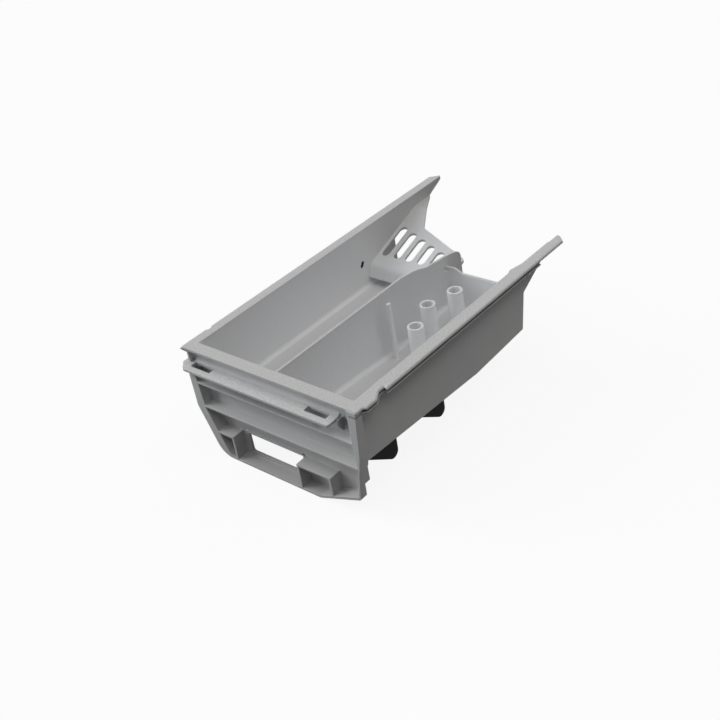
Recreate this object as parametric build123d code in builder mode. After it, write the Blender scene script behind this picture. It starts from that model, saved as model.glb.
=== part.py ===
from build123d import *
import os

# Detergent dispenser drawer, in millimetres.
# X runs left to right as seen from the front, Y from front to rear, Z up.
# The origin is the middle of the rim's front top edge.

# Wall thicknesses of the moulding
wall = 2.0
rib = 1.7

# Rim and slide rails
rail_inside = 71.8
rail_overhang = 7.8
left_rail_overhang = 7.0
rail_edge_radius = 1.4
rail_thickness = 5.0
rail_groove_height = 2.0
rail_groove_floor = 2.3
right_groove_end = 208.0
left_groove_end = 276.0
rim_thickness = 2.0
rim_inset = 0.6
rim_swell = 1.6
rim_swell_step = 6.5
rim_swell_start = 8.0
notch_front = 17.5
notch_foot = 25.5
notch_rear = 30.6
notch_depth = 3.2
left_notch_front = 24.4
left_notch_length = 5.2
left_notch_depth = 1.3

# Rear horns, where the rails run on past the compartments
left_horn = 296.0
left_horn_bevel = 6.5
right_horn = 243.7
horn_nose = 5.0
right_horn_inset = 1.8
right_horn_start = 201.0
rail_tab_front = 180.5
rail_tab_rear = 185.5
rail_tab_reach = 1.6

# Compartments
compartment_front = 9.5
divider_x = 4.0
left_floor = -49.6
left_floor_end = 222.0
divider_floor_end = 212.0
right_floor_front = -45.4
right_floor_low = -52.8
right_floor_rear = -50.0
sump_y = 131.0
rear_wall_y = 195.2
rear_wall_foot = 190.4
rear_wall_top = -19.9
rear_tab_height = 3.3
rear_tab_length = 8.5
rear_tab_slope = 7.0
corner_radius = 3.5

# Divider, level in front and falling in a shallow curve behind
divider_level_end = 143.0
divider_curve_y = 171.0
divider_curve_z = -6.0
divider_shoulder_y = 205.0
divider_shoulder_z = -10.8
divider_rear = 213.5
divider_nose = 8.0

# Side walls behind the compartments
left_wall_end = 226.0
left_web_tip_y = 294.0
left_web_tip_z = -2.4
left_web_foot_y = 277.5
left_web_foot_z = -10.0
right_web_end = 233.8
right_web_foot_z = -23.0

# Hood over the left compartment's outlet
hood_lip_y = 188.8
hood_lip_z = -42.6
hood_brow_y = 192.7
hood_brow_z = -32.3
hood_slope = 0.338
hood_crest_y = 258.0
hood_brow_radius = 8.0
hood_crest_radius = 25.0
hood_right_end = 218.0
hood_notch_x = -49.0
hood_notch_y = 237.8
hood_tip_y = 277.5
hood_corner_radius = 5.0

# Slots through the hood
slot_count = 5
slot_pitch = 11.9
slot_first_x = -65.6
slot_width = 7.3
slot_start = 203.4
slot_first_end = 234.5
slot_step = 3.7

# Stand tubes and post in the right compartment
tube_outside = 5.85
tube_bore = 4.25
tube_top = -12.8
tube_places = [(40.1, 110.7), (30.0, 138.2), (36.5, 162.6)]
post_x = 12.8
post_y = 116.2
post_width = 2.4
post_depth = 3.2
post_top = -5.0

# Small openings in the walls
oval_y = 183.2
oval_z = -28.2
oval_width = 3.0
oval_height = 5.8
oval_lean = 35.0
recess_x = -6.6
recess_z = -11.2
recess_size = 3.6
recess_depth = 1.2

# Front plate: a panel with ribs, cells and a border standing forward of it
plate_front = -0.6
plate_left_reach = 4.8
plate_left_bend_z = -49.6
plate_left_run = 15.0
plate_left_radius = 14.0
plate_bottom = -89.4
plate_bottom_end = 32.0
plate_right_reach = 6.6
plate_right_bend_in = 3.3
plate_right_bend_z = -38.1
plate_right_waist_in = 7.0
plate_right_waist_z = -56.2
plate_corner_in = 9.2
plate_corner_z = -74.9
plate_right_radius = 2.5
border_left_top = 5.6
border_left_bend = 8.4
neck_front = 3.8
neck_bend_z = -7.0
border_right_top = 7.6
border_right_low = 6.5
border_thin = 1.8
flange_rear_top = 5.4
flange_rear_low = 8.8
flange_step_z = -63.5
panel_bend_upper = 1.2
panel_bend_lower = 6.6
rib_upper = -28.6
rib_lower = -48.9
window_left = -41.9
window_right = 11.2
window_top = -67.0
window_bottom = -85.0
window_radius = 2.0
window_lip = 1.4
left_box_right = -47.6
left_box_top = -68.0
right_box_left = 14.4
right_box_right = 45.4
right_box_top = -67.2
gusset_gap = 1.6
gusset_top = -14.4
gusset_bottom = -24.6
gusset_front = 2.4
gusset_foot_chamfer = 5.0

# Slotted bar on the front plate
bar_top = -15.0
bar_front = -5.0
bar_left_reach = 6.2
bar_right = 58.4
bar_thickness = 2.0
bar_left_slant = 6.5
bar_nose = 3.0
bar_corner = 1.5
bar_root_radius = 3.5
bar_slot_front = 0.0
bar_slot_depth = 5.4
bar_slot_length = 19.0
bar_slot_left_x = -65.7
bar_slot_right_x = 42.8

# Feet
foot_bottom = -67.0
foot_width = 12.0
foot_corner = 5.0
foot_spans = {"foot_front": (10.4, 38.8), "foot_rear": (66.7, 91.3)}

# Dark plug in the left wall
plug_head = 1.0
plug_head_margin = 1.2

wall_outside = rail_inside + wall
rail_outside = wall_outside + rail_overhang
left_rail_outside = wall_outside + left_rail_overhang
plate_left = -wall_outside - plate_left_reach
plate_right = wall_outside + plate_right_reach
bar_left = plate_left - bar_left_reach
panel_face = compartment_front - wall
compartment_foot = left_floor - wall
divider_left = divider_x - wall / 2
divider_right = divider_x + wall / 2


def ramp_z(y):
    """Height of the hood's ramp above a distance from the front."""
    return hood_brow_z + (y - hood_brow_y) * hood_slope


def sump_floor_z(y):
    """Height of the right compartment's floor at a distance from the front."""
    if y < sump_y:
        return right_floor_low + (sump_y - y) * (right_floor_front - right_floor_low) / (sump_y - panel_face)
    return right_floor_low + (y - sump_y) * (right_floor_rear - right_floor_low) / (rear_wall_foot - sump_y)


def side_slab(points, x_from, x_to, mode=Mode.ADD):
    """A slab with its outline in the YZ plane, running along X."""
    with BuildSketch(Plane.YZ.offset(x_from)) as outline:
        with BuildLine():
            Polyline(*points, close=True)
        make_face()
    extrude(outline.sketch, amount=x_to - x_from, mode=mode)


def block(x_from, x_to, y_from, y_to, z_from, z_to, mode=Mode.ADD):
    """A straight wall or opening between its limits."""
    with Locations(((x_from + x_to) / 2, (y_from + y_to) / 2, (z_from + z_to) / 2)):
        Box(x_to - x_from, y_to - y_from, z_to - z_from, mode=mode)


def edge_wedge(reach, z_from, z_to, mode=Mode.ADD):
    """Everything in front of the compartments' line that lies beyond a 45 degree plane at the plate's right."""
    with BuildSketch(Plane.XY.offset(z_to)) as outline:
        with BuildLine():
            Polyline(
                (reach, 0),
                (reach - compartment_front - wall, compartment_front + wall),
                (plate_right + 2 * wall, compartment_front + wall),
                (plate_right + 2 * wall, 0),
                close=True,
            )
        make_face()
    extrude(outline.sketch, amount=z_from - z_to, mode=mode)


# Hood: a ramp with a rounded brow, cut to its outline in plan, with five long slots
with BuildPart() as hood:
    with BuildSketch(Plane.YZ.offset(-rail_inside - wall / 2)):
        with BuildLine():
            FilletPolyline(
                (hood_lip_y, hood_lip_z),
                (hood_brow_y, hood_brow_z),
                (hood_crest_y, ramp_z(hood_crest_y)),
                (left_horn, ramp_z(hood_crest_y)),
                radius=[hood_brow_radius, hood_crest_radius],
            )
            offset(amount=wall, side=Side.RIGHT)
        make_face()
    extrude(amount=rail_inside + wall / 2 + divider_x)
    with BuildSketch(Plane.XY.offset(left_floor)) as plan:
        with BuildLine():
            Polyline(
                (-wall_outside, hood_lip_y - 2 * wall),
                (divider_right, hood_lip_y - 2 * wall),
                (divider_right, hood_right_end),
                (hood_notch_x, hood_notch_y),
                (-rail_inside, hood_tip_y),
                (-wall_outside, hood_tip_y),
                close=True,
            )
        make_face()
        fillet(plan.vertices().group_by(Axis.X)[-1].sort_by(Axis.Y)[-1], hood_corner_radius)
    extrude(amount=-left_floor, mode=Mode.INTERSECT)
    for number in range(slot_count):
        slot_end = slot_first_end - number * slot_step
        with BuildSketch(Plane.XY.offset(left_floor)):
            with Locations((slot_first_x + number * slot_pitch, (slot_start + slot_end) / 2)):
                SlotOverall(slot_end - slot_start, slot_width, rotation=90)
        extrude(amount=-left_floor, mode=Mode.SUBTRACT)

# Space inside the left compartment, open to the rear under the hood
with BuildPart() as left_space:
    block(-rail_inside, divider_left, compartment_front, left_horn, left_floor, 2 * wall)
    left_corners = left_space.edges().filter_by_position(Axis.Z, left_floor, 0)
    fillet(left_corners.filter_by_position(Axis.Y, compartment_front, left_horn - 1), corner_radius)

# Space inside the right compartment, running out over its rear wall
with BuildPart() as right_space:
    side_slab(
        [
            (compartment_front, 2 * wall),
            (compartment_front, sump_floor_z(compartment_front)),
            (sump_y, right_floor_low),
            (rear_wall_foot - wall, sump_floor_z(rear_wall_foot - wall)),
            (rear_wall_y - wall, rear_wall_top),
            (left_horn, rear_wall_top),
            (left_horn, 2 * wall),
        ],
        divider_right,
        rail_inside,
    )
    right_corners = right_space.edges().filter_by_position(Axis.Z, right_floor_low, rear_wall_top - 1)
    crease = right_corners.filter_by(Axis.X).filter_by_position(Axis.Y, sump_y - 1, sump_y + 1)
    fillet(right_corners - crease, corner_radius)

# Pocket of the front plate, less the ribs and cell walls left standing in it
with BuildPart() as pocket:
    with BuildSketch(Plane.XZ.offset(-compartment_front)) as opening:
        with BuildLine():
            Polyline(
                (plate_left + border_left_top, -rim_thickness / 2),
                (plate_right - border_right_top, -rim_thickness / 2),
                (plate_right - border_right_top, rib_upper),
                (plate_right - border_right_low, rib_lower),
                (plate_right - plate_right_waist_in - border_thin, plate_right_waist_z),
                (plate_right - plate_corner_in - border_thin, plate_corner_z + border_thin),
                (plate_bottom_end, plate_bottom + border_thin),
                (plate_left + plate_left_run + border_left_bend, plate_bottom + border_thin),
                (plate_left + border_left_bend, plate_left_bend_z),
                close=True,
            )
        make_face()
        fillet(opening.vertices().group_by(Axis.Y)[0].sort_by(Axis.X)[0], plate_left_radius - border_left_bend)
    extrude(amount=compartment_front - plate_front)
    block(plate_left, plate_right, panel_face, compartment_front, compartment_foot, 0, mode=Mode.SUBTRACT)
    # The panel's right edge bends forward to the flange, further below its step
    edge_wedge(plate_right - panel_bend_upper, compartment_foot, flange_step_z, mode=Mode.SUBTRACT)
    edge_wedge(plate_right - panel_bend_lower, flange_step_z + wall, plate_bottom, mode=Mode.SUBTRACT)
    for rib_z in (rib_upper, rib_lower):
        block(plate_left, plate_right, plate_front, compartment_front, rib_z, rib_z + rib, mode=Mode.SUBTRACT)
    # Left cell, between the border, its own top and right wall
    block(
        plate_left,
        left_box_right,
        plate_front,
        compartment_front,
        left_box_top - rib,
        left_box_top,
        mode=Mode.SUBTRACT,
    )
    block(
        left_box_right - rib,
        left_box_right,
        plate_front,
        compartment_front,
        plate_bottom,
        left_box_top,
        mode=Mode.SUBTRACT,
    )
    # Right cell, a top and two walls standing on the border
    block(
        right_box_left,
        right_box_right,
        plate_front,
        compartment_front,
        right_box_top - rib,
        right_box_top,
        mode=Mode.SUBTRACT,
    )
    for cell_wall_x in (right_box_left, right_box_right - rib):
        block(
            cell_wall_x,
            cell_wall_x + rib,
            plate_front,
            compartment_front,
            plate_bottom,
            right_box_top,
            mode=Mode.SUBTRACT,
        )
    # Gusset beside the bar's right end
    side_slab(
        [
            (panel_face, gusset_top),
            (gusset_front, gusset_top),
            (gusset_front, gusset_bottom + gusset_foot_chamfer),
            (panel_face - wall, gusset_bottom),
            (panel_face, gusset_bottom),
        ],
        bar_right + gusset_gap,
        bar_right + gusset_gap + rib,
        mode=Mode.SUBTRACT,
    )

# Front plate: panel and border in one, with the slotted bar across it
with BuildPart() as front_plate:
    with BuildSketch(Plane.XZ.offset(-compartment_front - wall)) as plate:
        with BuildLine():
            Polyline(
                (plate_left, -rim_thickness / 2),
                (plate_right, -rim_thickness / 2),
                (plate_right - plate_right_bend_in, plate_right_bend_z),
                (plate_right - plate_right_waist_in, plate_right_waist_z),
                (plate_right - plate_corner_in, plate_corner_z),
                (plate_bottom_end, plate_bottom),
                (plate_left + plate_left_run, plate_bottom),
                (plate_left, plate_left_bend_z),
                close=True,
            )
        make_face()
        fillet(plate.vertices().group_by(Axis.Y)[0].sort_by(Axis.X)[0], plate_left_radius)
        fillet(plate.vertices().filter_by_position(Axis.Y, plate_corner_z - 1, plate_corner_z + 1), plate_right_radius)
    extrude(amount=compartment_front + wall - plate_front)
    add(pocket.part, mode=Mode.SUBTRACT)
    # The panel steps back below the compartments
    block(plate_left, plate_right, compartment_front, compartment_front + wall, left_floor, 0, mode=Mode.SUBTRACT)
    edge_wedge(plate_right - panel_bend_upper + 1.4 * wall, left_floor, flange_step_z, mode=Mode.SUBTRACT)
    edge_wedge(plate_right - panel_bend_lower + 1.4 * wall, flange_step_z, plate_bottom, mode=Mode.SUBTRACT)
    # Right flange, with its rear edge sloping down to the step, and hollow from behind like the left border
    side_slab(
        [
            (flange_rear_top, 0),
            (flange_rear_low, flange_step_z),
            (compartment_front + wall, flange_step_z),
            (compartment_front + wall, 0),
        ],
        wall_outside,
        plate_right,
        mode=Mode.SUBTRACT,
    )
    with BuildSketch(Plane.XZ.offset(-compartment_front - wall)):
        with BuildLine():
            Polyline(
                (plate_right - border_right_top + wall, -2 * wall),
                (plate_right - wall, -2 * wall),
                (plate_right - plate_right_bend_in - wall, plate_right_bend_z),
                close=True,
            )
        make_face()
        with BuildLine():
            Polyline(
                (plate_left + wall, rib_upper),
                (plate_left + border_left_top - wall / 2, rib_upper),
                (plate_left + border_left_bend - wall, plate_left_bend_z),
                (plate_left + border_left_bend - wall + plate_left_run / 2, (plate_left_bend_z + plate_bottom) / 2),
                (plate_left + wall + plate_left_run / 2, (plate_left_bend_z + plate_bottom) / 2),
                (plate_left + wall, plate_left_bend_z),
                close=True,
            )
        make_face()
    extrude(amount=compartment_front - plate_front, mode=Mode.SUBTRACT)
    # Neck between rim and bar, a thin side wall cut back from the front, with the panel reaching out to it
    block(
        plate_left,
        plate_left + border_left_bend,
        plate_front,
        panel_face,
        bar_top,
        0,
        mode=Mode.SUBTRACT,
    )
    block(-left_rail_outside, plate_left, panel_face, compartment_front, bar_top - bar_thickness, -rim_thickness / 2)
    side_slab(
        [
            (plate_front, -rim_thickness / 2),
            (plate_front, -rim_thickness),
            (neck_front, neck_bend_z),
            (neck_front, bar_top - bar_thickness / 2),
            (panel_face, bar_top - bar_thickness / 2),
            (panel_face, -rim_thickness / 2),
        ],
        -left_rail_outside,
        -left_rail_outside + rib,
    )
    # Window with a lip along its top
    block(
        window_left - window_lip,
        window_right + window_lip,
        compartment_front - window_lip,
        compartment_front + wall,
        window_top,
        window_top + window_lip,
    )
    with BuildSketch(Plane.XZ.offset(-compartment_front - wall)):
        with Locations(((window_left + window_right) / 2, (window_top + window_bottom) / 2)):
            RectangleRounded(window_right - window_left, window_top - window_bottom, window_radius)
    extrude(amount=2 * wall, mode=Mode.SUBTRACT)
    # Small square recess in the panel
    block(
        recess_x - recess_size / 2,
        recess_x + recess_size / 2,
        panel_face,
        panel_face + recess_depth,
        recess_z - recess_size / 2,
        recess_z + recess_size / 2,
        mode=Mode.SUBTRACT,
    )
    # Bar with a rounded left end, its root filleted into the panel, and two clip slots
    with BuildSketch(Plane.XY.offset(bar_top)) as bar:
        with BuildLine():
            Polyline(
                (bar_left, bar_front + bar_left_slant),
                (bar_left + bar_left_slant, bar_front),
                (bar_right, bar_front),
                (bar_right, compartment_front),
                (bar_left, compartment_front),
                close=True,
            )
        make_face()
        fillet(bar.vertices().group_by(Axis.Y)[0].sort_by(Axis.X)[-1], bar_corner)
        fillet(bar.vertices().group_by(Axis.X)[0] + bar.vertices().group_by(Axis.Y)[0].sort_by(Axis.X)[:1], bar_nose)
    extrude(amount=-bar_thickness)
    with BuildSketch(Plane.YZ.offset(plate_left + wall)) as root:
        with Locations((panel_face - bar_root_radius / 2, bar_top + bar_root_radius / 2)):
            Rectangle(bar_root_radius, bar_root_radius)
        with Locations((panel_face - bar_root_radius, bar_top + bar_root_radius)):
            Circle(bar_root_radius, mode=Mode.SUBTRACT)
    extrude(amount=bar_right - plate_left - wall)
    with BuildSketch(Plane.XY.offset(-rim_thickness)):
        with Locations(
            (bar_slot_left_x, bar_slot_front + bar_slot_depth / 2),
            (bar_slot_right_x, bar_slot_front + bar_slot_depth / 2),
        ):
            Rectangle(bar_slot_length, bar_slot_depth)
    extrude(amount=rib_upper + rib + rim_thickness, mode=Mode.SUBTRACT)

# Rim and rails in one plane, the rails thicker and grooved along their outer edges
with BuildPart() as rim:
    with BuildSketch(Plane.XY):
        with BuildLine():
            Polyline(
                (0, 0),
                (rail_outside - rim_inset, 0),
                (rail_outside - rim_inset, rim_swell_step),
                (rail_outside + rim_swell, rim_swell_start),
                (rail_outside + rim_swell, notch_front),
                (rail_outside - notch_depth, notch_foot),
                (rail_outside - notch_depth, notch_rear),
                (rail_outside, notch_rear - rim_inset),
                (rail_outside, right_horn - horn_nose),
                (rail_outside - horn_nose, right_horn),
                (rail_inside + right_horn_inset, right_horn),
                (rail_inside + right_horn_inset, right_horn_start),
                (rail_inside - rail_tab_reach, rail_tab_rear),
                (rail_inside, rail_tab_front),
                (rail_inside, compartment_front),
                (0, compartment_front),
                close=True,
            )
        make_face()
        with BuildLine():
            Polyline(
                (0, 0),
                (rim_inset - left_rail_outside, 0),
                (-left_rail_outside, 2 * rim_inset),
                (-left_rail_outside, left_notch_front),
                (-left_rail_outside + left_notch_depth, left_notch_front + left_notch_depth),
                (-left_rail_outside + left_notch_depth, left_notch_front + left_notch_length - left_notch_depth),
                (-left_rail_outside, left_notch_front + left_notch_length),
                (-left_rail_outside, left_horn - left_horn_bevel),
                (-wall_outside, left_horn),
                (-rail_inside, left_horn - wall),
                (-rail_inside, compartment_front),
                (0, compartment_front),
                close=True,
            )
        make_face()
    extrude(amount=-rail_thickness)
    top_edges = rim.edges().group_by(Axis.Z)[-1]
    fillet(top_edges.filter_by(lambda edge: abs(edge.center().X) > wall_outside + wall), rail_edge_radius)
    # Only the rim's thickness stays across the front, over the compartments and in the horns
    for thin_left, thin_right, thin_front, thin_rear in (
        (-left_rail_outside, rail_outside + rim_swell, 0, flange_rear_top),
        (-rail_inside, rail_inside, 0, left_horn),
        (rail_inside, rail_outside + rim_swell, right_groove_end, right_horn),
        (-left_rail_outside, -rail_inside, left_groove_end, left_horn),
    ):
        block(thin_left, thin_right, thin_front, thin_rear, -rail_thickness, -rim_thickness, mode=Mode.SUBTRACT)
    for groove_inside, groove_outside, groove_end in (
        (wall_outside + rail_groove_floor, rail_outside + rim_swell, right_groove_end),
        (-left_rail_outside, -wall_outside - rail_groove_floor, left_groove_end),
    ):
        block(
            groove_inside,
            groove_outside,
            flange_rear_top,
            groove_end,
            -rim_thickness - rail_groove_height,
            -rim_thickness,
            mode=Mode.SUBTRACT,
        )

# The whole moulding
with BuildPart() as drawer_body:
    # Left compartment, with an oblique rear end to its floor
    with BuildSketch(Plane.XY.offset(left_floor - wall)):
        with BuildLine():
            Polyline(
                (-wall_outside, panel_face),
                (divider_right, panel_face),
                (divider_right, divider_floor_end),
                (-wall_outside, left_floor_end),
                close=True,
            )
        make_face()
    extrude(amount=-left_floor + wall - rim_thickness / 2)
    # Right compartment
    side_slab(
        [
            (panel_face, -rim_thickness / 2),
            (rear_wall_y, -rim_thickness / 2),
            (rear_wall_y, right_web_foot_z),
            (rear_wall_foot, right_floor_rear - wall),
            (sump_y, right_floor_low - wall),
            (panel_face, right_floor_front - wall),
        ],
        divider_left,
        wall_outside,
    )
    add(left_space.part, mode=Mode.SUBTRACT)
    add(right_space.part, mode=Mode.SUBTRACT)
    # Web under the right horn, in line with the wall
    side_slab(
        [
            (rear_wall_y - wall, -rim_thickness / 2),
            (right_web_end, -rim_thickness / 2),
            (right_web_end, -rim_thickness),
            (rear_wall_y, right_web_foot_z),
            (rear_wall_y - wall, right_web_foot_z),
        ],
        rail_inside,
        wall_outside,
    )
    # Raised tab at the left end of the right compartment's rear wall
    with BuildSketch(Plane.XZ.offset(-rear_wall_y)):
        with BuildLine():
            Polyline(
                (divider_x, rear_wall_top - wall),
                (divider_x, rear_wall_top + rear_tab_height),
                (divider_right + rear_tab_length, rear_wall_top + rear_tab_height),
                (divider_right + rear_tab_length + rear_tab_slope, rear_wall_top),
                (divider_right + rear_tab_length + rear_tab_slope, rear_wall_top - wall),
                close=True,
            )
        make_face()
    extrude(amount=wall)
    # Divider, cut down to its curved top edge
    block(divider_left, divider_right, compartment_front, left_wall_end, left_floor, 0, mode=Mode.SUBTRACT)
    with BuildSketch(Plane.YZ.offset(divider_left)):
        with BuildLine():
            Polyline(
                (divider_level_end, 0),
                (panel_face, 0),
                (panel_face, left_floor - wall / 2),
                (divider_rear, left_floor - wall / 2),
                (divider_rear, divider_shoulder_z - divider_nose),
            )
            Spline(
                (divider_rear, divider_shoulder_z - divider_nose),
                (divider_shoulder_y, divider_shoulder_z),
                (divider_curve_y, divider_curve_z),
                (divider_level_end, 0),
                tangents=((0, 1), (-1, 0.1)),
            )
        make_face()
    extrude(amount=wall)
    # Left wall, running on behind the floor and up to its web under the horn
    side_slab(
        [
            (panel_face, -rim_thickness / 2),
            (left_web_tip_y, -rim_thickness / 2),
            (left_web_tip_y, left_web_tip_z),
            (left_web_foot_y, left_web_foot_z),
            (left_wall_end, ramp_z(left_wall_end) - wall),
            (left_wall_end, left_floor - wall),
            (panel_face, left_floor - wall),
        ],
        -wall_outside,
        -rail_inside,
    )
    add(hood.part)

    add(rim.part)
    add(front_plate.part)

    # Stand tubes, each with a bore through the floor, and a post beside the divider
    for x, y in tube_places:
        foot = sump_floor_z(y) - wall / 2
        with Locations((x, y, foot)):
            Cylinder(tube_outside, tube_top - foot, align=(Align.CENTER, Align.CENTER, Align.MIN))
    for x, y in tube_places:
        with Locations((x, y, right_floor_low - 2 * wall)):
            Cylinder(tube_bore, -right_floor_low, align=(Align.CENTER, Align.CENTER, Align.MIN), mode=Mode.SUBTRACT)
    block(
        post_x - post_width / 2,
        post_x + post_width / 2,
        post_y - post_depth / 2,
        post_y + post_depth / 2,
        sump_floor_z(post_y) - wall / 2,
        post_top,
    )

    # Leaning oval hole through the left wall
    with BuildSketch(Plane.YZ.offset(-wall_outside)):
        with Locations((oval_y, oval_z)):
            SlotOverall(oval_height, oval_width, rotation=90 - oval_lean)
    extrude(amount=2 * wall, mode=Mode.SUBTRACT)

# Dark plug in the left wall, with its head outside
with BuildPart() as wall_plug:
    with BuildSketch(Plane.YZ.offset(-rail_inside)):
        with Locations((oval_y, oval_z)):
            SlotOverall(oval_height, oval_width, rotation=90 - oval_lean)
    extrude(amount=-wall)
    with BuildSketch(Plane.YZ.offset(-wall_outside)):
        with Locations((oval_y, oval_z)):
            SlotOverall(
                oval_height + 2 * plug_head_margin,
                oval_width + 2 * plug_head_margin,
                rotation=90 - oval_lean,
            )
    extrude(amount=-plug_head)

# Feet: dark wedges fixed under the right compartment, along its outer wall
feet = []
for name, (front, rear) in foot_spans.items():
    with BuildPart() as foot_part:
        side_slab(
            [
                (front, sump_floor_z(front) - wall),
                (rear, sump_floor_z(rear) - wall),
                (rear, foot_bottom),
            ],
            wall_outside - foot_width,
            wall_outside,
        )
        fillet(foot_part.edges().filter_by(Axis.X).group_by(Axis.Z)[0].sort_by(Axis.Y)[-1], foot_corner)
    foot_part.part.label = name
    feet.append(foot_part.part)

os.makedirs("parts", exist_ok=True)
drawer_body.part.label = "drawer_body"
export_step(drawer_body.part, "parts/drawer_body.step")
wall_plug.part.label = "wall_plug"
export_step(wall_plug.part, "parts/wall_plug.step")
for foot_part in feet:
    export_step(foot_part, f"parts/{foot_part.label}.step")
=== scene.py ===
import math

import bpy
from mathutils import Matrix, Vector


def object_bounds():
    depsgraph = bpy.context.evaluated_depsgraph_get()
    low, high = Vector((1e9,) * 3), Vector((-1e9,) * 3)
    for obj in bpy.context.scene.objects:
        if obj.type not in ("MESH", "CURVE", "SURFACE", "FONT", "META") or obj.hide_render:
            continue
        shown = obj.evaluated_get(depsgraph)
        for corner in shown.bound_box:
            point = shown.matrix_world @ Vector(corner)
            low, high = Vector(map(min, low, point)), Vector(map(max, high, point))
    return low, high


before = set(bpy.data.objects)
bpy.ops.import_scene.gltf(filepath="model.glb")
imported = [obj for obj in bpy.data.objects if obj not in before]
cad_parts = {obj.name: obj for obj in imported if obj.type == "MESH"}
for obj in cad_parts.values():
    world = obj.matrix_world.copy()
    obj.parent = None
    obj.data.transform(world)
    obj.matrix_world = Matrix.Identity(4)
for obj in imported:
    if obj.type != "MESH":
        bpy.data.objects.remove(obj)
solid_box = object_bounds()
scene = bpy.context.scene
scene.view_settings.view_transform = "Standard"


# Camera: stands in front of the drawer's right corner and looks down into the compartments,
# rolled a little to one side, with the whole length of both rails in view.
CAMERA_AZIMUTH = math.radians(45.561)
CAMERA_ELEVATION = math.radians(33.193)
CAMERA_ROLL = math.radians(-10.318)
CAMERA_PLACE = Vector((0.47867, -0.37840, 0.39651))
CAMERA_SENSOR = 36
CAMERA_LENS = 55.47
CAMERA_NEAREST = 0.01


def direction(turn, height):
    """The direction that points turn round from the front to the right, and height up, both in radians."""
    return Vector(
        (
            math.sin(turn) * math.cos(height),
            -math.cos(turn) * math.cos(height),
            math.sin(height),
        )
    )


view_back = direction(CAMERA_AZIMUTH, CAMERA_ELEVATION)
level_right = Vector((math.cos(CAMERA_AZIMUTH), math.sin(CAMERA_AZIMUTH), 0))
level_up = view_back.cross(level_right)
view_right = level_right * math.cos(CAMERA_ROLL) + level_up * math.sin(CAMERA_ROLL)
view_up = level_up * math.cos(CAMERA_ROLL) - level_right * math.sin(CAMERA_ROLL)
camera_data = bpy.data.cameras.new("camera")
camera_data.sensor_width = CAMERA_SENSOR
camera_data.lens = CAMERA_LENS
camera_data.clip_start = CAMERA_NEAREST
camera = bpy.data.objects.new("camera", camera_data)
scene.collection.objects.link(camera)
camera_turn = Matrix((view_right, view_up, view_back)).transposed()
camera.matrix_world = Matrix.Translation(CAMERA_PLACE) @ camera_turn.to_4x4()
scene.camera = camera


# Floor: a plain pale board just under the drawer's front plate. The camera and reflections see it almost
# white with a faint shadow, and all other light meets a dull board that gives little back.
FLOOR_BELOW = 0.0005
FLOOR_HALF_WIDTH = 6.0
FLOOR_SHOWN_WHITE = 0.9
FLOOR_SHADED = (0.95, 0.95, 0.95, 1)
FLOOR_DULL = (0.05, 0.05, 0.05, 1)
PLAIN_WHITE = (1, 1, 1, 1)
WHITE_STRENGTH = 1.0


def fill(tree, node, inputs):
    """Fills a node's inputs. A socket is linked, and a number, colour or place is written in."""
    for label, value in inputs.items():
        if isinstance(value, bpy.types.NodeSocket):
            tree.links.new(value, node.inputs[label])
        else:
            node.inputs[label].default_value = value


def add_node(tree, kind, inputs, operation=None):
    """Adds a node of a kind, with its operation where it has one, and fills its inputs."""
    node = tree.nodes.new(kind)
    if operation:
        node.operation = operation
    fill(tree, node, inputs)
    return node


def worked_out(tree, operation, *values):
    """What a Math node makes of its values, each a number or a socket."""
    return add_node(tree, "ShaderNodeMath", dict(enumerate(values)), operation).outputs[0]


def mixed_shader(tree, share, first, second):
    """A shader that goes from the first to the second with a share, a number or a socket."""
    return add_node(tree, "ShaderNodeMixShader", {"Fac": share, 1: first.outputs[0], 2: second.outputs[0]})


def seen_directly(tree):
    """A mask that is 1 for the camera, in reflections and through clear pieces, and 0 for all other light."""
    ray = add_node(tree, "ShaderNodeLightPath", {}).outputs
    camera_or_clear = worked_out(tree, "MAXIMUM", ray["Is Camera Ray"], ray["Is Transmission Ray"])
    return worked_out(tree, "MAXIMUM", camera_or_clear, ray["Is Glossy Ray"])


floor_height = solid_box[0][2] - FLOOR_BELOW
floor_mesh = bpy.data.meshes.new("floor")
floor_mesh.from_pydata(
    [
        (x * FLOOR_HALF_WIDTH, y * FLOOR_HALF_WIDTH, floor_height)
        for x, y in ((-1, -1), (1, -1), (1, 1), (-1, 1))
    ],
    [],
    [(0, 1, 2, 3)],
)
floor = bpy.data.objects.new("floor", floor_mesh)
scene.collection.objects.link(floor)
floor_board = bpy.data.materials.new("pale_floor_board")
floor_board.use_nodes = True
tree = floor_board.node_tree
tree.nodes.clear()
board_shaded = add_node(tree, "ShaderNodeBsdfDiffuse", {"Color": FLOOR_SHADED})
board_white = add_node(tree, "ShaderNodeEmission", {"Color": PLAIN_WHITE, "Strength": WHITE_STRENGTH})
board_dull = add_node(tree, "ShaderNodeBsdfDiffuse", {"Color": FLOOR_DULL})
board_shown = mixed_shader(tree, FLOOR_SHOWN_WHITE, board_shaded, board_white)
board = mixed_shader(tree, seen_directly(tree), board_dull, board_shown)
add_node(tree, "ShaderNodeOutputMaterial", {"Surface": board.outputs[0]})
floor_mesh.materials.append(floor_board)


# Studio light: six wide soft lamps a long way off, the strongest low at the left, where it reaches into the
# compartments, and a weak one behind. The room is white to the camera and in reflections only.
ROOM_COLOUR = (0.96, 0.98, 1.0, 1)
ROOM_STRENGTH = 0.05
LAMP_WIDTH = 0.7
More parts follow.
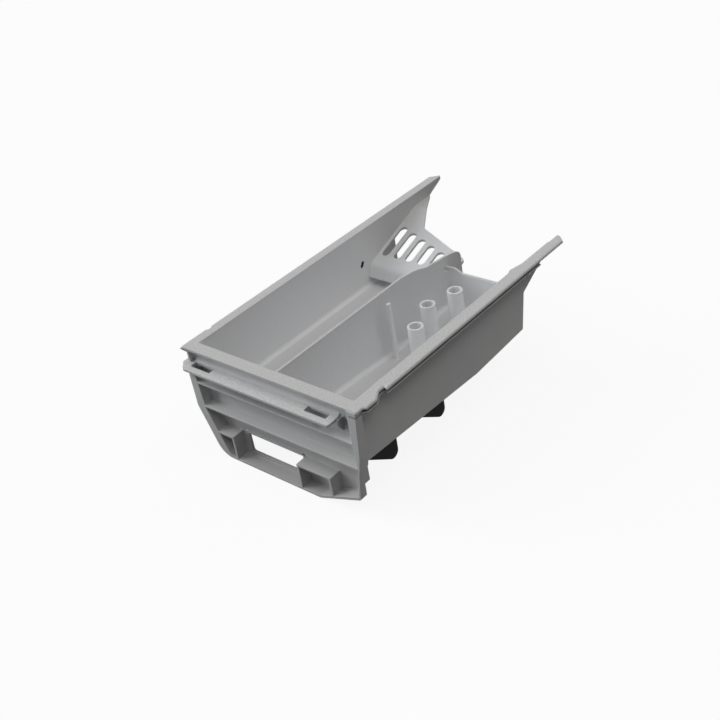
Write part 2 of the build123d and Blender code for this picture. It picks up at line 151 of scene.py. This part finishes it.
# Each lamp's degrees round from the front to the right, its degrees up, its level and its colour. At level 1
# a lamp renders a white face that is turned to it white.
LAMPS = {
    "lamp_left_low": (-60, 25, 0.38, (0.96, 0.98, 1.0)),
    "lamp_left_high": (-60, 50, 0.22, (0.96, 0.98, 1.0)),
    "lamp_front": (0, 40, 0.07, (0.97, 0.98, 1.0)),
    "lamp_overhead": (65, 70, 0.24, (1.0, 0.99, 0.98)),
    "lamp_right": (120, 45, 0.11, (1.0, 0.97, 0.93)),
    "lamp_behind": (180, 25, 0.08, (1.0, 1.0, 1.0)),
}

room = bpy.data.worlds.new("room")
scene.world = room
room.use_nodes = True
tree = room.node_tree
tree.nodes.clear()
room_light = add_node(tree, "ShaderNodeBackground", {"Color": ROOM_COLOUR, "Strength": ROOM_STRENGTH})
room_white = add_node(tree, "ShaderNodeBackground", {"Color": PLAIN_WHITE, "Strength": WHITE_STRENGTH})
room_seen = mixed_shader(tree, seen_directly(tree), room_light, room_white)
add_node(tree, "ShaderNodeOutputWorld", {"Surface": room_seen.outputs[0]})

for lamp_name, (lamp_turn, lamp_height, lamp_level, lamp_colour) in LAMPS.items():
    lamp = bpy.data.lights.new(lamp_name, "SUN")
    lamp.energy = lamp_level * math.pi
    lamp.angle = LAMP_WIDTH
    lamp.color = lamp_colour
    lamp_stand = bpy.data.objects.new(lamp_name, lamp)
    scene.collection.objects.link(lamp_stand)
    lamp_stand.location = direction(math.radians(lamp_turn), math.radians(lamp_height))
    lamp_stand.rotation_euler = lamp_stand.location.to_track_quat("Z", "Y").to_euler()


# Drawer: one injection moulding in light grey polypropylene, satin and finely grained from the mould, with its
# corners rounded by the tool. Painted bounce light makes its compartments' walls pale, painted light makes the
# thin stands and the bar's top paler, and painted shade darkens the rim's top a little, the clip pockets, the
# runners' lower lips and the tightest corners. The front plate is darker towards the bottom, the edges are
# paler from wear and painted highlight, and grain speckle soils the flat tops.
DRAWER_GREY = (0.63, 0.63, 0.625, 1)
DRAWER_GREY_COOL = (0.60, 0.603, 0.61, 1)
DRAWER_GREY_PAINTED_BOUNCE = (0.73, 0.735, 0.745, 1)
DRAWER_GREY_STAND_PAINTED_LIGHT = (0.86, 0.865, 0.875, 1)
DRAWER_GREY_RIM_PAINTED_SHADE = (0.61, 0.61, 0.605, 1)
DRAWER_GREY_PAINTED_LIGHT_AND_WEAR = (0.74, 0.74, 0.735, 1)
DRAWER_GREY_SOILED_AND_SHADED = (0.40, 0.395, 0.385, 1)
DRAWER_GREY_PAINTED_DEEP_SHADE = (0.10, 0.10, 0.10, 1)
DRAWER_SPECULAR = 0.35
DRAWER_ROUGHNESS = 0.42
DRAWER_ROUGHNESS_SPREAD = 0.18
DRAWER_BUMP = 0.5
DRAWER_WEAR = {"Edge Radius": 0.0006, "Grain Scale": 750.0, "Patch Scale": 22.0, "Crevice Depth": 0.008}
GRAIN_DEPTH = 0.0001

# The wear and shade masks that all the plastics share: two noises, rounded corners, and tight places that take
# the drawer's painted shade.
PATCH_DETAIL, PATCH_ROUGHNESS = 3.0, 0.55
GRAIN_DETAIL, GRAIN_ROUGHNESS = 4.0, 0.7
WEAR_SAMPLES = 6
RUBBED_FROM_TURN, RUBBED_FULL_TURN = 0.985, 0.80
CREVICE_FROM_OPEN, CREVICE_FULL_OPEN = 0.5, 0.05

# Where each shade lies on the drawer, in metres, and how strong it is there.
PATCH_FROM, PATCH_FULL = 0.35, 0.65
FLAT_TOP_FROM = 0.97
# Painted bounce light inside the compartments: the box it fills, its fade towards the rear, and how much less
# of it lies on the floors.
BOUNCE_PAINT_MIDDLE = (-0.00005, 0.16, -0.029)
BOUNCE_PAINT_HALF = (0.0728, 0.152, 0.0284)
BOUNCE_PAINT_FADE_START, BOUNCE_PAINT_FADE_END = 0.185, 0.235
BOUNCE_PAINT_AT_REAR = 0.1
BOUNCE_PAINT_FLOOR_CUT = 0.7
# Painted light on the thin stands: each stand's place and reach.
THIN_STANDS = (
    (0.0401, 0.1107, 0.0065),
    (0.0300, 0.1382, 0.0065),
    (0.0365, 0.1626, 0.0065),
    (0.0128, 0.1162, 0.0024),
)
STAND_MIDDLE_HEIGHT = -0.028
STAND_REACH_UP = 0.06
STAND_FULL_WITHIN = 0.95
TOP_LEVEL_TOLERANCE = 0.0004
BAR_TOP_HEIGHT = -0.015
RUNNER_LIP_HEIGHT = -0.0046
RUNNER_LIP_HALF = 0.0008
RUNNER_LIP_FROM_X = 0.0745
RUNNER_LIP_PAINTED_SHADOW = 0.6
DARKER_FROM_HEIGHT, DARKER_FULL_HEIGHT = -0.035, -0.087
DARKER_AT_BOTTOM = 0.75
FRONT_PLATE_BACK = 0.0125
SPECKLE_FROM, SPECKLE_FULL = 0.42, 0.58
SPECKLE_FROM_HEIGHT, SPECKLE_FULL_HEIGHT = -0.018, -0.014
SPECKLE_ON_TOPS = 0.36
SPECKLE_ALL_OVER = 0.08
CREVICE_PAINTED_SHADE = 0.35
DEEP_FROM, DEEP_FULL = 0.75, 1.0
DEEP_PAINTED_SHADE = 0.9
POCKETS = (
    ((-0.0690, 0.0032, -0.0215), (0.0125, 0.0062, 0.0062)),
    ((0.0405, 0.0032, -0.0215), (0.0125, 0.0062, 0.0062)),
    ((0.0620, 0.0045, -0.0185), (0.0045, 0.0048, 0.0080)),
)
POCKET_FULL_WITHIN = 0.6
POCKET_PAINTED_SHADE = 0.75
EDGE_WEAR_AND_HIGHLIGHT = 0.5


def ranged(tree, value, start, full, at_start=0.0, at_full=1.0):
    """A mask that goes from at_start to at_full as a value goes from start to full, and stops at both."""
    inputs = {"Value": value, "From Min": start, "From Max": full, "To Min": at_start, "To Max": at_full}
    return add_node(tree, "ShaderNodeMapRange", inputs).outputs["Result"]


def spot(tree, place, middle, reach, full_within, amount):
    """A mask that is amount within a share of its reach round a place on the piece, and fades to none."""
    from_middle = add_node(tree, "ShaderNodeVectorMath", {0: place, 1: middle}, "SUBTRACT").outputs[0]
    by_reach = add_node(tree, "ShaderNodeVectorMath", {0: from_middle, 1: reach}, "DIVIDE").outputs[0]
    how_far = add_node(tree, "ShaderNodeVectorMath", {0: by_reach}, "LENGTH").outputs["Value"]
    return ranged(tree, how_far, 1.0, full_within, 0.0, amount)


def layered(tree, colour, layers):
    """A colour with more colours laid over it in turn, each through its own mask."""
    for mask, over in layers:
        step = tree.nodes.new("ShaderNodeMix")
        step.data_type = "RGBA"
        fill(tree, step, {"Factor": mask, 6: colour, 7: over})
        colour = step.outputs[2]
    return colour


surface_wear_and_shade = bpy.data.node_groups.new("surface_wear_and_shade", "ShaderNodeTree")
for label in ("Edge Radius", "Grain Scale", "Patch Scale", "Crevice Depth"):
    surface_wear_and_shade.interface.new_socket(label, in_out="INPUT", socket_type="NodeSocketFloat")
for label in ("Patches", "Grain", "Rounded Edge", "Crevice"):
    surface_wear_and_shade.interface.new_socket(label, in_out="OUTPUT", socket_type="NodeSocketFloat")
surface_wear_and_shade.interface.new_socket("Rounded Normal", in_out="OUTPUT", socket_type="NodeSocketVector")
wear_in = add_node(surface_wear_and_shade, "NodeGroupInput", {}).outputs
wear_place = add_node(surface_wear_and_shade, "ShaderNodeTexCoord", {}).outputs["Object"]
wear_patches = add_node(
    surface_wear_and_shade,
    "ShaderNodeTexNoise",
    {
        "Vector": wear_place,
        "Scale": wear_in["Patch Scale"],
        "Detail": PATCH_DETAIL,
        "Roughness": PATCH_ROUGHNESS,
    },
)
wear_grain = add_node(
    surface_wear_and_shade,
    "ShaderNodeTexNoise",
    {
        "Vector": wear_place,
        "Scale": wear_in["Grain Scale"],
        "Detail": GRAIN_DETAIL,
        "Roughness": GRAIN_ROUGHNESS,
    },
)
wear_rounding = add_node(surface_wear_and_shade, "ShaderNodeBevel", {"Radius": wear_in["Edge Radius"]})
wear_rounding.samples = WEAR_SAMPLES
wear_flat = add_node(surface_wear_and_shade, "ShaderNodeNewGeometry", {}).outputs["Normal"]
wear_turn = add_node(
    surface_wear_and_shade, "ShaderNodeVectorMath", {0: wear_rounding.outputs["Normal"], 1: wear_flat}, "DOT_PRODUCT"
)
wear_open = add_node(surface_wear_and_shade, "ShaderNodeAmbientOcclusion", {"Distance": wear_in["Crevice Depth"]})
wear_open.samples = WEAR_SAMPLES
add_node(
    surface_wear_and_shade,
    "NodeGroupOutput",
    {
        "Patches": wear_patches.outputs["Fac"],
        "Grain": wear_grain.outputs["Fac"],
        "Rounded Edge": ranged(surface_wear_and_shade, wear_turn.outputs["Value"], RUBBED_FROM_TURN, RUBBED_FULL_TURN),
        "Crevice": ranged(surface_wear_and_shade, wear_open.outputs["AO"], CREVICE_FROM_OPEN, CREVICE_FULL_OPEN),
        "Rounded Normal": wear_rounding.outputs["Normal"],
    },
)


def new_plastic(name, wear_values):
    """A new material with the surface wear in it: the material, its tree and what the wear gives."""
    material = bpy.data.materials.new(name)
    material.use_nodes = True
    wear = material.node_tree.nodes.new("ShaderNodeGroup")
    wear.node_tree = surface_wear_and_shade
    fill(material.node_tree, wear, wear_values)
    return material, material.node_tree, wear.outputs


def finish_plastic(tree, wear, colour, specular, roughness, roughness_spread, bump):
    """Gives a plastic its colour and gloss, its fine grain in roughness and bump, and its rounded corners."""
    grain_bump = add_node(
        tree,
        "ShaderNodeBump",
        {"Strength": bump, "Distance": GRAIN_DEPTH, "Height": wear["Grain"], "Normal": wear["Rounded Normal"]},
    )
    fill(
        tree,
        tree.nodes["Principled BSDF"],
        {
            "Base Color": colour,
            "Specular IOR Level": specular,
            "Roughness": worked_out(tree, "MULTIPLY_ADD", wear["Grain"], roughness_spread, roughness),
            "Normal": grain_bump.outputs["Normal"],
        },
    )


def give_finish(piece_name, material):
    """Puts a material on a piece in place of the plain one."""
    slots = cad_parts[piece_name].data.materials
    slots.clear()
    slots.append(material)


drawer_plastic, tree, wear = new_plastic("grey_polypropylene", DRAWER_WEAR)
seat = add_node(tree, "ShaderNodeTexCoord", {}).outputs
place = add_node(tree, "ShaderNodeSeparateXYZ", {0: seat["Object"]}).outputs
facing = add_node(tree, "ShaderNodeSeparateXYZ", {0: seat["Normal"]}).outputs
flow_patches = ranged(tree, wear["Patches"], PATCH_FROM, PATCH_FULL)
flat_top = ranged(tree, facing["Z"], FLAT_TOP_FROM, 1.0)

# Painted bounce light: the insides of the compartments painted paler, less on their floors and towards the
# rear.
to_rear = ranged(tree, place["Y"], BOUNCE_PAINT_FADE_START, BOUNCE_PAINT_FADE_END, 1.0, BOUNCE_PAINT_AT_REAR)
off_floor = worked_out(tree, "MULTIPLY_ADD", flat_top, -BOUNCE_PAINT_FLOOR_CUT, 1.0)
painted_bounce = worked_out(tree, "MULTIPLY", to_rear, off_floor)
for axis, middle, half in zip("XYZ", BOUNCE_PAINT_MIDDLE, BOUNCE_PAINT_HALF):
    inside = worked_out(tree, "COMPARE", place[axis], middle, half)
    painted_bounce = worked_out(tree, "MULTIPLY", painted_bounce, inside)

# The rim's top (painted shade), the bar's top (painted light), the runners' lower lips (painted shadow) and
# the low part of the front plate (darker towards the bottom).
rim_top = worked_out(tree, "GREATER_THAN", place["Z"], -TOP_LEVEL_TOLERANCE)
at_bar_top = worked_out(tree, "COMPARE", place["Z"], BAR_TOP_HEIGHT, TOP_LEVEL_TOLERANCE)
bar_top = worked_out(tree, "MULTIPLY", at_bar_top, flat_top)
at_lip = worked_out(tree, "COMPARE", place["Z"], RUNNER_LIP_HEIGHT, RUNNER_LIP_HALF)
on_runner = worked_out(tree, "GREATER_THAN", worked_out(tree, "ABSOLUTE", place["X"]), RUNNER_LIP_FROM_X)
runner_lip = worked_out(tree, "MULTIPLY", at_lip, on_runner)
low_down = ranged(tree, place["Z"], DARKER_FROM_HEIGHT, DARKER_FULL_HEIGHT, 0.0, DARKER_AT_BOTTOM)
on_front = worked_out(tree, "LESS_THAN", place["Y"], FRONT_PLATE_BACK)
low_front = worked_out(tree, "MULTIPLY", low_down, on_front)

# Speckle that follows the grain, strongest on the flat tops near the rim, and painted shade in the tightest
# places.
speckle = ranged(tree, wear["Grain"], SPECKLE_FROM, SPECKLE_FULL)
near_rim = ranged(tree, place["Z"], SPECKLE_FROM_HEIGHT, SPECKLE_FULL_HEIGHT)
matt_top = worked_out(tree, "MULTIPLY", flat_top, near_rim)
speckled_by = worked_out(tree, "MULTIPLY_ADD", matt_top, SPECKLE_ON_TOPS, SPECKLE_ALL_OVER)
deep = ranged(tree, wear["Crevice"], DEEP_FROM, DEEP_FULL)

# Tone patches, then painted bounce light that makes the compartments' walls paler.
drawer_layers = [(flow_patches, DRAWER_GREY_COOL), (painted_bounce, DRAWER_GREY_PAINTED_BOUNCE)]
# Painted light: each thin stand is painted paler.
for x, y, reach in THIN_STANDS:
    stand = spot(
        tree,
        seat["Object"],
        (x, y, STAND_MIDDLE_HEIGHT),
        (reach, reach, STAND_REACH_UP),
        STAND_FULL_WITHIN,
        1.0,
    )
    drawer_layers.append((stand, DRAWER_GREY_STAND_PAINTED_LIGHT))
drawer_layers += [
    # painted shade: the rim's top a little darker
    (rim_top, DRAWER_GREY_RIM_PAINTED_SHADE),
    # painted light: the bar's top paler
    (bar_top, DRAWER_GREY_PAINTED_LIGHT_AND_WEAR),
    # painted shadow along the runners' lower lips, under their top lips
    (worked_out(tree, "MULTIPLY", runner_lip, RUNNER_LIP_PAINTED_SHADOW), DRAWER_GREY_PAINTED_DEEP_SHADE),
    # the front plate darker towards the bottom
    (low_front, DRAWER_GREY_SOILED_AND_SHADED),
    (worked_out(tree, "MULTIPLY", speckle, speckled_by), DRAWER_GREY_SOILED_AND_SHADED),
    # painted shade in the tight places
    (worked_out(tree, "MULTIPLY", wear["Crevice"], CREVICE_PAINTED_SHADE), DRAWER_GREY_SOILED_AND_SHADED),
    # deeper painted shade in the tightest places
    (worked_out(tree, "MULTIPLY", deep, DEEP_PAINTED_SHADE), DRAWER_GREY_PAINTED_DEEP_SHADE),
]
# Painted shade in the clip pockets under the bar's slots and in the pocket at the bar's right end.
for middle, reach in POCKETS:
    pocket = spot(tree, seat["Object"], middle, reach, POCKET_FULL_WITHIN, POCKET_PAINTED_SHADE)
    drawer_layers.append((pocket, DRAWER_GREY_PAINTED_DEEP_SHADE))
# Paler rounded edges: partly wear, partly painted highlight.
drawer_layers.append((worked_out(tree, "MULTIPLY", wear["Rounded Edge"], EDGE_WEAR_AND_HIGHLIGHT), DRAWER_GREY_PAINTED_LIGHT_AND_WEAR))
finish_plastic(
    tree,
    wear,
    layered(tree, DRAWER_GREY, drawer_layers),
    DRAWER_SPECULAR,
    DRAWER_ROUGHNESS,
    DRAWER_ROUGHNESS_SPREAD,
    DRAWER_BUMP,
)
give_finish("drawer_body", drawer_plastic)


# Feet and wall plug: soft rubber wedges under the right compartment, and an oval rubber plug pushed into a
# hole in the left wall. Their near-black colour is painted shade for the deep shade under the tray and in the
# hole. They are matt, with a little grey dust and paler rubbed edges.
RUBBER_BLACK_PAINTED_SHADE = (0.006, 0.006, 0.006, 1)
RUBBER_DUSTY = (0.014, 0.014, 0.013, 1)
RUBBER_RUBBED = (0.04, 0.04, 0.038, 1)
RUBBER_SPECULAR = 0.1
RUBBER_ROUGHNESS = 0.6
RUBBER_ROUGHNESS_SPREAD = 0.2
RUBBER_BUMP = 0.3
RUBBER_EDGE_RUBBED = 0.6
RUBBER_WEAR = {"Edge Radius": 0.0012, "Grain Scale": 1800.0, "Patch Scale": 90.0, "Crevice Depth": 0.004}

rubber_painted_shade_black, tree, wear = new_plastic("rubber_painted_shade_black", RUBBER_WEAR)
rubber_rubbed = worked_out(tree, "MULTIPLY", wear["Rounded Edge"], RUBBER_EDGE_RUBBED)
rubber_layers = [(wear["Patches"], RUBBER_DUSTY), (rubber_rubbed, RUBBER_RUBBED)]
finish_plastic(
    tree,
    wear,
    layered(tree, RUBBER_BLACK_PAINTED_SHADE, rubber_layers),
    RUBBER_SPECULAR,
    RUBBER_ROUGHNESS,
    RUBBER_ROUGHNESS_SPREAD,
    RUBBER_BUMP,
)
for piece_name in ("foot_front", "foot_rear", "wall_plug"):
    give_finish(piece_name, rubber_painted_shade_black)
